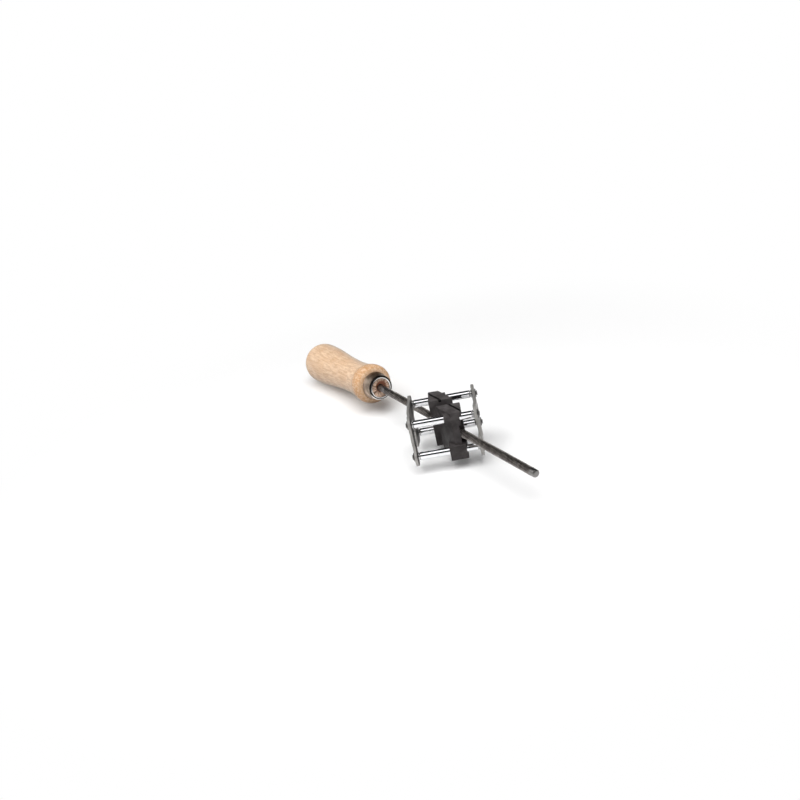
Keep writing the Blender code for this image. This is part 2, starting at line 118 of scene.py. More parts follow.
def side_plate(sign):
    """The sheet with softly sheared edges, finely divided and then pressed to shape."""
    hole = JOURNAL / 2 + PLAY
    loops = [plate_outline()]
    for y, z in ROLLER_PLACES.values():
        turns = [-2 * pi * i / HOLE_STEPS for i in range(HOLE_STEPS)]
        loops.append([(y + hole * cos(a), z + hole * sin(a)) for a in turns])
    edge = SHEARED_EDGE
    soft = 0.3 * edge
    steps = [(0.0, edge), (soft, soft), (edge, 0.0), (SHEET - edge, 0.0), (SHEET - soft, soft), (SHEET, edge)]
    bm = bmesh.new()
    sheet_depth = bm.verts.layers.float.new("sheet_depth")
    cap_edges = {0.0: [], SHEET: []}
    for loop in loops:
        rings = []
        for depth, back in steps:
            ring = [bm.verts.new((depth, y, z)) for y, z in inset(loop, back)]
            rings.append(ring)
            if depth in cap_edges:
                cap_edges[depth] += [bm.edges.new((a, b)) for a, b in zip(ring, ring[1:] + ring[:1])]
        for first, second in zip(rings, rings[1:]):
            for i in range(len(first)):
                j = (i + 1) % len(first)
                bm.faces.new((first[i], second[i], second[j], first[j]))
    for edges in cap_edges.values():
        bmesh.ops.triangle_fill(bm, use_beauty=True, edges=edges)
    for axis, reach in ((Vector((0, 1, 0)), DIVIDED_Y), (Vector((0, 0, 1)), DIVIDED_Z)):
        count = int(reach / DIVISION)
        for i in range(-count, count + 1):
            everything = bm.verts[:] + bm.edges[:] + bm.faces[:]
            bmesh.ops.bisect_plane(bm, geom=everything, plane_co=axis * (i * DIVISION), plane_no=axis)
    bmesh.ops.triangulate(bm, faces=bm.faces)
    for vert in bm.verts:
        vert[sheet_depth] = vert.co.x / SHEET
        vert.co.x += PLATE_SPACING / 2 + plate_bulge(vert.co.y, vert.co.z)
    if sign < 0:
        bmesh.ops.rotate(bm, verts=bm.verts, matrix=Matrix.Rotation(pi, 3, "Z"))
    bmesh.ops.translate(bm, verts=bm.verts, vec=FRAME_MIDDLE)
    return bm


def as_mesh(name, bm):
    mesh = bpy.data.meshes.new(name)
    bm.to_mesh(mesh)
    bm.free()
    return mesh


def added(name, data):
    thing = bpy.data.objects.new(name, data)
    bpy.context.scene.collection.objects.link(thing)
    return thing


def finished(name, bm, finish, body, nodes, smooth_below=35.0):
    """Turns a bmesh into a piece of the tool that stands for CAD nodes and rides on a body."""
    bmesh.ops.remove_doubles(bm, verts=bm.verts, dist=SAME_PLACE)
    bmesh.ops.recalc_face_normals(bm, faces=bm.faces)
    mesh = as_mesh(name, bm)
    mesh.shade_smooth()
    mesh.set_sharp_from_angle(angle=radians(smooth_below))
    mesh.materials.clear()
    mesh.materials.append(finish)
    piece = added(name, mesh)
    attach(piece, body)
    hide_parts(*nodes)


def put(tree, kind, inputs=None, **settings):
    """Adds a node. Each input takes a plain value or another node's output socket."""
    node = tree.nodes.new(kind)
    for name, value in settings.items():
        setattr(node, name, value)
    for name, value in (inputs or {}).items():
        if isinstance(value, bpy.types.NodeSocket):
            tree.links.new(value, node.inputs[name])
        else:
            node.inputs[name].default_value = value
    return node


def sums(tree, how, first, second=0.0, third=0.0):
    """One step of arithmetic on plain values or sockets."""
    return put(tree, "ShaderNodeMath", {0: first, 1: second, 2: third}, operation=how).outputs[0]


def times(tree, first, second):
    return sums(tree, "MULTIPLY", first, second)


def spread(tree, value, low, high, out_low=0.0, out_high=1.0):
    """A value drawn out smoothly between two ends."""
    node = put(tree, "ShaderNodeMapRange", {0: value, 1: low, 2: high, 3: out_low, 4: out_high})
    node.interpolation_type = "SMOOTHSTEP"
    return node.outputs[0]


def mixed(tree, share, first, second):
    """Two colours mixed by a share. Each is three numbers or a socket."""
    first, second = ((*c, 1.0) if isinstance(c, tuple) else c for c in (first, second))
    return put(tree, "ShaderNodeMix", {0: share, 6: first, 7: second}, data_type="RGBA").outputs[2]


def over(tree, tone, colour, share, most=1.0):
    """A colour laid over a tone by a share, and by no more than most of it."""
    return mixed(tree, share if most == 1.0 else times(tree, share, most), tone, colour)


def noise(tree, place, scale, detail=2.0):
    return put(tree, "ShaderNodeTexNoise", {"Vector": place, "Scale": scale, "Detail": detail}).outputs[0]


def stretched(tree, place, scales):
    """Places scaled apart, for marks that run one way."""
    return put(tree, "ShaderNodeVectorMath", {0: place, 1: scales}, operation="MULTIPLY").outputs[0]


def on_tool(tree):
    return put(tree, "ShaderNodeTexCoord").outputs["Object"]


def noted(tree, name):
    """A number that the mesh keeps for each of its points."""
    return put(tree, "ShaderNodeAttribute", attribute_name=name).outputs["Fac"]


def new_finish(name, roughness, metallic=0.0, **sockets):
    """A material with its Principled shader, whose plain values sit on the shader's own sockets."""
    material = bpy.data.materials.new(name)
    material.use_nodes = True
    shader = material.node_tree.nodes["Principled BSDF"]
    for socket, value in {"Roughness": roughness, "Metallic": metallic, **sockets}.items():
        shader.inputs[socket.replace("_", " ")].default_value = value
    return material, material.node_tree, shader


def coat(tree, shader, tone, roughness):
    tree.links.new(tone, shader.inputs["Base Color"])
    tree.links.new(roughness, shader.inputs["Roughness"])


def relieved(tree, shader, height, depth, strength):
    """Fine relief from a height."""
    bump = put(tree, "ShaderNodeBump", {"Height": height, "Distance": depth, "Strength": strength})
    tree.links.new(bump.outputs[0], shader.inputs["Normal"])


def handling_marks():
    """Smudges from hands and storage, with fine rubbed scratches that run one way and across it."""
    group = bpy.data.node_groups.new("handling marks", "ShaderNodeTree")
    group.interface.new_socket("Vector", in_out="INPUT", socket_type="NodeSocketVector")
    for label, value in (("Smudge Scale", 120.0), ("Scratch Scale", 900.0), ("Stretch", 0.06)):
        group.interface.new_socket(label, in_out="INPUT", socket_type="NodeSocketFloat").default_value = value
    for label in ("Smudge", "Scratch", "Height"):
        group.interface.new_socket(label, in_out="OUTPUT", socket_type="NodeSocketFloat")
    given = group.nodes.new("NodeGroupInput").outputs
    out = group.nodes.new("NodeGroupOutput").inputs
    smudge = noise(group, given["Vector"], given["Smudge Scale"], 4.0)
    squeeze = put(group, "ShaderNodeCombineXYZ", {0: given["Stretch"], 1: 1.0, 2: 1.0}).outputs[0]
    lines = noise(group, stretched(group, given["Vector"], squeeze), given["Scratch Scale"])
    scratch = spread(group, lines, 0.60, 0.74)
    group.links.new(spread(group, smudge, 0.32, 0.72), out["Smudge"])
    group.links.new(scratch, out["Scratch"])
    group.links.new(times(group, scratch, -1.0), out["Height"])
    return group


HANDLING = handling_marks()


def handled(tree, place, smudge=120.0, scratch=900.0, stretch=0.06):
    """The marks of handling at one finish's own sizes."""
    sizes = {"Vector": place, "Smudge Scale": smudge, "Scratch Scale": scratch, "Stretch": stretch}
    return put(tree, "ShaderNodeGroup", sizes, node_tree=HANDLING).outputs


plate_steel, tree, shader = new_finish("plate steel", roughness=0.42, metallic=0.72)
marks = handled(tree, on_tool(tree))
depth = noted(tree, "sheet_depth")
# Painted shade: the plates' inner faces, which face each other, are painted much darker.
inner_face_shade = spread(tree, depth, 0.14, 0.02)
# The sheared edges are painted lighter, as bare steel and also as a painted highlight where the edges catch
# the light.
sheared = times(tree, spread(tree, depth, 0.02, 0.14), spread(tree, depth, 0.98, 0.86))
tone = mixed(tree, marks["Smudge"], (0.235, 0.226, 0.214), (0.35, 0.337, 0.322))
tone = over(tree, tone, (0.66, 0.65, 0.63), marks["Scratch"], 0.60)
tone = over(tree, tone, (0.075, 0.068, 0.064), inner_face_shade, 0.85)
tone = over(tree, tone, (0.46, 0.445, 0.425), sheared, 0.70)
coat(tree, shader, tone, spread(tree, marks["Smudge"], 0.0, 1.0, 0.60, 0.48))
relieved(tree, shader, marks["Height"], depth=0.00002, strength=0.5)

for side, sign in (("left", -1.0), ("right", 1.0)):
    plate = side_plate(sign)
    finished(f"pressed_{side}_plate", plate, plate_steel, "frame", [f"{side}_side_plate"])

# Rollers
# Four rods of hard-chromed steel, turned down at both ends to run in the plates' holes.
# A groove near each end takes a spring clip.
ROLLER = 0.0052
ROLLER_EDGE = 0.0003
ROLLER_STEPS = 56
GROOVE = 0.0025
GROOVE_WIDTH = 0.0012
HEAD = 0.0005
SOFT = 0.0001
WASHER_SHEET = 0.0005


def turned(profile, steps):
    """Turns (distance along X, radius) pairs about X. A radius of nothing is a pole."""
    bm = bmesh.new()
    rings = []
    for along, radius in profile:
        if radius == 0.0:
            rings.append([bm.verts.new((along, 0.0, 0.0))])
            continue
        angles = [2 * pi * i / steps for i in range(steps)]
        rings.append([bm.verts.new((along, radius * cos(a), radius * sin(a))) for a in angles])
    pairs = list(zip(rings, rings[1:]))
    if len(rings[0]) > 1:
        pairs.append((rings[-1], rings[0]))
    for first, second in pairs:
        for i in range(steps):
            j = (i + 1) % steps
            corners = [first[i % len(first)], second[i % len(second)]]
            corners += [second[j % len(second)], first[j % len(first)]]
            bm.faces.new(list(dict.fromkeys(corners)))
    return bm


def roller_rod():
    shoulder = PLATE_SPACING / 2 - WASHER_SHEET - 2 * PLAY
    groove = PLATE_SPACING / 2 + SHEET
    head = groove + GROOVE_WIDTH
    end = head + HEAD
    body = ROLLER / 2
    journal = JOURNAL / 2
    right = [
        (shoulder - 2 * ROLLER_EDGE, body),
        (shoulder - ROLLER_EDGE, body),
        (shoulder - SOFT, body - SOFT),
        (shoulder, body - ROLLER_EDGE),
        (shoulder, journal),
        (groove, journal),
        (groove, GROOVE / 2),
        (head, GROOVE / 2),
        (head, journal - SOFT),
        (end - 2 * SOFT, journal - SOFT),
        (end, journal - 3 * SOFT),
        (end, 0.0),
    ]
    return [(-along, radius) for along, radius in reversed(right)] + right


def plus(tree, first, second):
    return sums(tree, "ADD", first, second)


def minus(tree, first, second):
    return sums(tree, "SUBTRACT", first, second)


def apart(tree, place):
    """A place as its three distances."""
    return put(tree, "ShaderNodeSeparateXYZ", {0: place}).outputs


chrome, tree, shader = new_finish("hard chrome", roughness=0.07, metallic=1.0)
place = on_tool(tree)
marks = handled(tree, place, smudge=260.0, scratch=2600.0, stretch=3.0)
from_middle = sums(tree, "ABSOLUTE", minus(tree, apart(tree, place)[0], FRAME_MIDDLE.x))
dull = spread(tree, from_middle, PLATE_SPACING / 2, PLATE_SPACING / 2 + 4 * SOFT)
tone = mixed(tree, marks["Smudge"], (0.80, 0.80, 0.82), (0.90, 0.90, 0.91))
tone = over(tree, tone, (0.20, 0.19, 0.185), dull)
rough = spread(tree, marks["Scratch"], 0.0, 1.0, 0.03, 0.10)
coat(tree, shader, tone, plus(tree, rough, times(tree, dull, 0.34)))

for place_name, (y, z) in ROLLER_PLACES.items():
    rod = turned(roller_rod(), ROLLER_STEPS)
    bmesh.ops.translate(rod, verts=rod.verts, vec=FRAME_MIDDLE + Vector((0.0, y, z)))
    name = f"chromed_roller_{place_name}"
    finished(name, rod, chrome, f"{place_name}_roller", [f"roller_{place_name}"])

# Washers
# Eight bright steel rings keep the rollers' shoulders off the plates.
# All stay with the frame while the rollers turn in them.
WASHER = 0.0056
WASHER_EDGE = 0.00012
WASHER_STEPS = 48


def new_maker(name, lengths, counts=()):
    """A Geometry Nodes tree with named sizes, its input and output, and the sockets' identifiers."""
    maker = bpy.data.node_groups.new(name, "GeometryNodeTree")
    maker.interface.new_socket("Geometry", in_out="INPUT", socket_type="NodeSocketGeometry")
    kinds = dict.fromkeys(lengths, "Float") | dict.fromkeys(counts, "Int") | {"Material": "Material"}
    names = {}
    for label, kind in kinds.items():
        socket = maker.interface.new_socket(label, in_out="INPUT", socket_type=f"NodeSocket{kind}")
        names[label] = socket.identifier
    maker.interface.new_socket("Geometry", in_out="OUTPUT", socket_type="NodeSocketGeometry")
    given = maker.nodes.new("NodeGroupInput").outputs
    return maker, given, maker.nodes.new("NodeGroupOutput"), names


def closing(maker, geometry, given, out):
    """The last steps of every tree: real geometry and its material."""
    real = put(maker, "GeometryNodeRealizeInstances", {0: geometry}).outputs[0]
    dressed = put(maker, "GeometryNodeSetMaterial", {"Geometry": real, "Material": given["Material"]})
    maker.links.new(dressed.outputs[0], out.inputs[0])


def set_out(maker, shape, given, out):
    """A shape stood upright on every point, square to the rollers."""
    upright = put(maker, "GeometryNodeTransform", {"Geometry": shape, "Rotation": (0.0, pi / 2, 0.0)})
    copies = put(
        maker, "GeometryNodeInstanceOnPoints", {"Points": given["Geometry"], "Instance": upright.outputs[0]}
    )
    closing(maker, copies.outputs[0], given, out)


def flat_section(maker, width, height):
    sizes = {"Width": width, "Height": height}
    return put(maker, "GeometryNodeCurvePrimitiveQuadrilateral", sizes).outputs[0]


def made(maker, names, values, points=()):
    """Runs a tree on a few points and hands back its result as a bmesh."""
    base = bpy.data.meshes.new("points")
    base.from_pydata([tuple(point) for point in points], [], [])
    holder = added("holder", base)
    step = holder.modifiers.new("maker", "NODES")
    step.node_group = maker
    for label, value in values.items():
        step[names[label]] = value
    graph = bpy.context.evaluated_depsgraph_get()
    result = bpy.data.meshes.new_from_object(holder.evaluated_get(graph))
    holder.modifiers.remove(step)
    bpy.data.objects.remove(holder, do_unlink=True)
    bm = bmesh.new()
    bm.from_mesh(result)
    bmesh.ops.remove_doubles(bm, verts=bm.verts, dist=0.000002)
    return bm


def washer_maker():
    lengths = ("Middle Radius", "Width", "Thickness", "Edge")
    maker, given, out, names = new_maker("washers on the rollers", lengths)
    circle = {"Resolution": WASHER_STEPS, "Radius": given["Middle Radius"]}
    line = put(maker, "GeometryNodeCurvePrimitiveCircle", circle).outputs[0]
    section = flat_section(maker, given["Width"], given["Thickness"])
    rounded = put(maker, "GeometryNodeFilletCurve", {"Curve": section, "Radius": given["Edge"]}).outputs[0]
    ring = put(maker, "GeometryNodeCurveToMesh", {"Curve": line, "Profile Curve": rounded})
    set_out(maker, ring.outputs[0], given, out)
    return maker, names


washer_steel, tree, shader = new_finish("bright washer steel", roughness=0.24, metallic=1.0)
marks = handled(tree, on_tool(tree), smudge=500.0, scratch=2000.0)
tone = mixed(tree, marks["Smudge"], (0.56, 0.55, 0.54), (0.74, 0.74, 0.73))
coat(tree, shader, tone, spread(tree, marks["Scratch"], 0.0, 1.0, 0.20, 0.36))

inner_radius = JOURNAL / 2 + PLAY
outer_radius = WASHER / 2
washer_x = PLATE_SPACING / 2 - PLAY - WASHER_SHEET / 2
spots = [
    FRAME_MIDDLE + Vector((sign * washer_x, y, z)) for y, z in ROLLER_PLACES.values() for sign in (-1.0, 1.0)
]
maker, names = washer_maker()
sizes = {
    "Middle Radius": (inner_radius + outer_radius) / 2,
    "Width": outer_radius - inner_radius,
    "Thickness": WASHER_SHEET,
    "Edge": WASHER_EDGE,
    "Material": washer_steel,
}
nodes = [f"washer_{place_name}_{side}" for place_name in ROLLER_PLACES for side in ("left", "right")]
finished("roller_washers", made(maker, names, sizes, spots), washer_steel, "frame", nodes)

# Spring clips
# A blackened spring-steel clip with three lugs snaps into the groove at each end of a roller.
# Both clips of a roller turn with it.
CLIP = 0.0056
CLIP_RELIEF = 0.0042
CLIP_SHEET = 0.0006
CLIP_MOUTH = radians(76.0)
LUG_SWEEP = radians(40.0)
LUG_CLEARANCE = 0.00003
BAND_OVERLAP = 0.00006
CLIP_STEPS = 30


def clip_maker():
    """A band round the outside and three lugs that reach in from it."""
    lengths = ("Outer Radius", "Relief Radius", "Lug Radius", "Thickness", "Mouth", "Lug Sweep")
    maker, given, out, names = new_maker("clips in the grooves", lengths)
    sweep = minus(maker, 2 * pi, given["Mouth"])
    start = times(maker, given["Mouth"], 0.5)
    last = minus(maker, plus(maker, start, sweep), given["Lug Sweep"])
    middle = minus(maker, pi, times(maker, given["Lug Sweep"], 0.5))
    bands = [(start, sweep, "Relief Radius", "Outer Radius")]
    bands += [(at, given["Lug Sweep"], "Lug Radius", "Relief Radius") for at in (start, middle, last)]
    parts = put(maker, "GeometryNodeJoinGeometry")
    for at, span, inside, outside in bands:
        radius = times(maker, plus(maker, given[inside], given[outside]), 0.5)
        width = plus(maker, minus(maker, given[outside], given[inside]), BAND_OVERLAP)
        arc = {"Resolution": CLIP_STEPS, "Radius": radius, "Start Angle": at, "Sweep Angle": span}
        line = put(maker, "GeometryNodeCurveArc", arc).outputs[0]
        section = flat_section(maker, width, given["Thickness"])
        curves = {"Curve": line, "Profile Curve": section, "Fill Caps": True}
        band = put(maker, "GeometryNodeCurveToMesh", curves)
        maker.links.new(band.outputs[0], parts.inputs[0])
    set_out(maker, parts.outputs[0], given, out)
    return maker, names


clip_steel, tree, shader = new_finish("blackened spring steel", roughness=0.40, metallic=1.0)
marks = handled(tree, on_tool(tree), smudge=600.0)
tone = mixed(tree, marks["Smudge"], (0.10, 0.097, 0.093), (0.19, 0.182, 0.175))
tree.links.new(tone, shader.inputs["Base Color"])

maker, names = clip_maker()
sizes = {
    "Outer Radius": CLIP / 2,
    "Relief Radius": CLIP_RELIEF / 2,
    "Lug Radius": GROOVE / 2 + LUG_CLEARANCE,
    "Thickness": CLIP_SHEET,
    "Mouth": CLIP_MOUTH,
    "Lug Sweep": LUG_SWEEP,
    "Material": clip_steel,
}
clip_x = PLATE_SPACING / 2 + SHEET + GROOVE_WIDTH / 2
for place_name, (y, z) in ROLLER_PLACES.items():
    spots = [FRAME_MIDDLE + Vector((sign * clip_x, y, z)) for sign in (-1.0, 1.0)]
    nodes = [f"clip_{place_name}_{side}" for side in ("left", "right")]
    pair = made(maker, names, sizes, spots)
    finished(f"clips_{place_name}", pair, clip_steel, f"{place_name}_roller", nodes)

# Guide blocks
# Two alike mouldings in black plastic slide on the rollers and hold the file at the filing angle.
# Each has a slanted body, a boss on the top roller, a foot on the low roller and a sight groove.
GUIDE_MIDDLE = FRAME_MIDDLE + Vector((0.0018, 0.0, 0.0))
FILE_ANGLE = radians(30.0)
FILE_LINE = Vector((sin(FILE_ANGLE), -cos(FILE_ANGLE), 0.0))
FILE_TURN = Matrix.Rotation(atan2(FILE_LINE.y, FILE_LINE.x), 4, "Z")
FILE_Z = -0.0012
FILE = 0.0052
NARROW_X = 0.0057
WIDE_X = 0.0104
CHANNEL_Y = 0.0046
FRONT_Y = 0.0202
TOP_Z = 0.0160
LOW_Z = 0.0173
MOULDED_EDGE = 0.0005
SLAB = 0.0026
BOSS_RADIUS = 0.0041
BOSS_START = -0.0010
BOSS_END = 0.0090
FOOT_TOP = -0.0066
FOOT_FRONT = 0.0222
FOOT_CHAMFER = 0.0011
RELIEF_Y = 0.0125
RELIEF_SIDE = 0.0034
RELIEF_TOP = 0.0068
SIGHT_MOUTH = 0.00105
SIGHT_FLOOR = 0.00045
SIGHT_DEPTH = 0.0006
OVERRUN = 0.001
BORE_REACH = 0.02
DRILL_STEPS = 48


def prism(outline, low, high, axis="Z"):
    bm = bmesh.new()
    order = (lambda a, b, c: (c, a, b)) if axis == "X" else (lambda a, b, c: (a, b, c))
    base = bm.faces.new([bm.verts.new(order(a, b, low)) for a, b in outline])
    top = bmesh.ops.extrude_face_region(bm, geom=[base])["geom"]
    lift = Vector(order(0.0, 0.0, high - low))
    bmesh.ops.translate(bm, vec=lift, verts=[part for part in top if isinstance(part, bmesh.types.BMVert)])
    bmesh.ops.recalc_face_normals(bm, faces=bm.faces)
    return bm


def drilled(radius, start, end):
    """A round cutter from one point to another."""
    start, end = Vector(start), Vector(end)
    length = (end - start).length
    bm = turned([(0.0, 0.0), (0.0, radius), (length, radius), (length, 0.0)], DRILL_STEPS)
    turn = Vector((1.0, 0.0, 0.0)).rotation_difference(end - start).to_matrix().to_4x4()
    bmesh.ops.transform(bm, matrix=Matrix.Translation(start) @ turn, verts=bm.verts)
    bmesh.ops.recalc_face_normals(bm, faces=bm.faces)
    return bm


def shaped(bm, steps):
    """The solid after Booleans with each (operation, bmesh)."""
    body = added("helper", as_mesh("helper", bm))
    helpers = [body]
    for operation, other in steps:
        helper = added("helper", as_mesh("helper", other))
        helpers.append(helper)
        cut = body.modifiers.new("cut", "BOOLEAN")
        cut.operation = operation
        cut.solver = "EXACT"
        cut.object = helper
    bpy.context.view_layer.update()
    graph = bpy.context.evaluated_depsgraph_get()
    mesh = bpy.data.meshes.new_from_object(body.evaluated_get(graph))
    for helper in helpers:
        bpy.data.objects.remove(helper, do_unlink=True)
    result = bmesh.new()
    result.from_mesh(mesh)
    return result


def slanted(offset, y):
    """The X of a line along the file, that far to the left of its axis."""
    return (-offset - y * sin(FILE_ANGLE)) / cos(FILE_ANGLE)


def guide_block():
    """The front block about the guides' middle. The rear one is the same, turned half round."""
    slant = slanted(0.0, -CHANNEL_Y) + NARROW_X
    corner = slanted(0.0, -FRONT_Y) - slant
    plan = [(-NARROW_X, -CHANNEL_Y), (corner, -FRONT_Y), (WIDE_X, -FRONT_Y), (WIDE_X, -CHANNEL_Y)]
    block = prism(plan, -LOW_Z, TOP_Z)
    bmesh.ops.bevel(block, geom=block.edges[:], offset=MOULDED_EDGE, segments=3, profile=0.5, affect="EDGES")
    boss = drilled(BOSS_RADIUS, (BOSS_START, -TOP_ROLLER_Y, ROLLER_Z), (BOSS_END, -TOP_ROLLER_Y, ROLLER_Z))
    front = -FOOT_FRONT
    floor_z = -LOW_Z + MOULDED_EDGE
    foot_side = [(-RELIEF_Y, floor_z), (-RELIEF_Y, FOOT_TOP), (front, FOOT_TOP)]
    foot_side += [(front, floor_z + FOOT_CHAMFER), (front + FOOT_CHAMFER, floor_z)]
    foot = prism(foot_side, BOSS_START, WIDE_X - MOULDED_EDGE, "X")
    past_x = WIDE_X + OVERRUN
    past_y = -FRONT_Y - 3 * OVERRUN
    relief_plan = [(slanted(RELIEF_SIDE, -RELIEF_Y), -RELIEF_Y), (slanted(RELIEF_SIDE, past_y), past_y)]
    relief_plan += [(past_x + OVERRUN, past_y), (past_x + OVERRUN, -RELIEF_Y)]
    relief = prism(relief_plan, FOOT_TOP, RELIEF_TOP)
    back = -RELIEF_Y - PLAY
    undercut_plan = [(BOSS_END, back), (BOSS_END, past_y), (past_x, past_y), (past_x, back)]
    undercut = prism(undercut_plan, RELIEF_TOP - OVERRUN, TOP_Z - SLAB)
    steps = [("UNION", boss), ("UNION", foot), ("DIFFERENCE", relief), ("DIFFERENCE", undercut)]
    for y, z in (ROLLER_PLACES["front_top"], ROLLER_PLACES["front_bottom"]):
        bore = drilled(ROLLER / 2 + PLAY, (-BORE_REACH, y, z), (BORE_REACH, y, z))
        steps.append(("DIFFERENCE", bore))
    axis = Vector((0.0, 0.0, FILE_Z))
    steps.append(("DIFFERENCE", drilled(FILE / 2 + PLAY, axis, axis + FILE_LINE * 2 * BORE_REACH)))
    groove = [(-SIGHT_MOUTH, TOP_Z + SIGHT_DEPTH), (SIGHT_MOUTH, TOP_Z + SIGHT_DEPTH)]
    groove += [(SIGHT_FLOOR, TOP_Z - SIGHT_DEPTH), (-SIGHT_FLOOR, TOP_Z - SIGHT_DEPTH)]
    sight = prism(groove, 0.0, 2 * BORE_REACH, "X")
    bmesh.ops.transform(sight, matrix=FILE_TURN, verts=sight.verts)
    steps.append(("DIFFERENCE", sight))
    return shaped(block, steps)


def lined_up(tree, home):
    """Places measured from a piece's own middle, along it and across it."""
    inputs = {"Vector": on_tool(tree), "Location": home.translation, "Rotation": home.to_euler("XYZ")}
    return put(tree, "ShaderNodeMapping", inputs, vector_type="TEXTURE").outputs[0]


guide_plastic, tree, shader = new_finish("moulded guide plastic", roughness=0.46, Specular_IOR_Level=0.08)
place = on_tool(tree)
marks = handled(tree, place, smudge=180.0, scratch=1500.0, stretch=0.12)
along, across, up = apart(tree, lined_up(tree, Matrix.Translation(GUIDE_MIDDLE) @ FILE_TURN))
# Painted shade: the sight groove along the top is painted near black.
sight_groove_shade = spread(tree, sums(tree, "ABSOLUTE", across), 0.00085, 0.00070)
sight_groove_shade = times(tree, sight_groove_shade, spread(tree, up, TOP_Z - 0.0020, TOP_Z - 0.0015))
tone = mixed(tree, marks["Smudge"], (0.046, 0.041, 0.041), (0.076, 0.069, 0.069))
tone = over(tree, tone, (0.12, 0.112, 0.108), marks["Scratch"], 0.35)
tone = over(tree, tone, (0.006, 0.0055, 0.0055), sight_groove_shade)
coat(tree, shader, tone, spread(tree, marks["Smudge"], 0.0, 1.0, 0.52, 0.40))
relieved(tree, shader, noise(tree, place, 2400.0), depth=0.00003, strength=0.35)

for name, turn in (("front", 0.0), ("rear", pi)):
    block = guide_block()
    place = Matrix.Translation(GUIDE_MIDDLE) @ Matrix.Rotation(turn, 4, "Z")
    bmesh.ops.transform(block, matrix=place, verts=block.verts)
    nodes = [f"{name}_guide_block"]
    finished(f"moulded_guide_{name}", block, guide_plastic, "guides", nodes)

# Round file
# A round sharpening file in hardened steel: helical rows of chisel-cut teeth, a plain ground nose,
# a plain shank and a tapered tang that is driven into the handle. The teeth cut on the push stroke.
FILE_LENGTH = 0.2000
FILE_REACH = 0.0986
NOSE_LENGTH = 0.0045
NOSE = 0.0049
SHANK_LENGTH = 0.0120
TANG_LENGTH = 0.0350
TANG_ROOT = 0.0042
TANG_POINT = 0.0020
TANG_TAPER = 0.0020
NOSE_CHAMFER = 0.0008
INSERT = 0.0020
BLUED_FULL = 0.006
BLUED_END = 0.030
TOOTH_PITCH = 0.00060
TOOTH_DEPTH = 0.00020
TOOTH_STARTS = 12
TOOTH_ROWS = 3
TOOTH_RUN_OUT = 0.0012
LEAST_TOOTH = 0.70
LOW_PLACE = 0.34
LOW_HEIGHT = 0.30
CREST_PLACE = 0.84
PAST_END = 0.56
STRIPS = 12
STRIP_FLAT = 0.00008
TURN_LENGTH = 0.150
COLUMNS = 48
BAR_STEPS = 40
FILE_PLACE = Matrix.Translation(GUIDE_MIDDLE + Vector((0.0, 0.0, FILE_Z))) @ FILE_TURN


def keep_number(maker, geometry, name, value):
    """A number kept on the mesh for its material."""
    node = put(maker, "GeometryNodeStoreNamedAttribute", {"Geometry": geometry, "Name": name})
    node.data_type = "FLOAT"
    maker.links.new(value, node.inputs["Value"])
    return node.outputs[0]


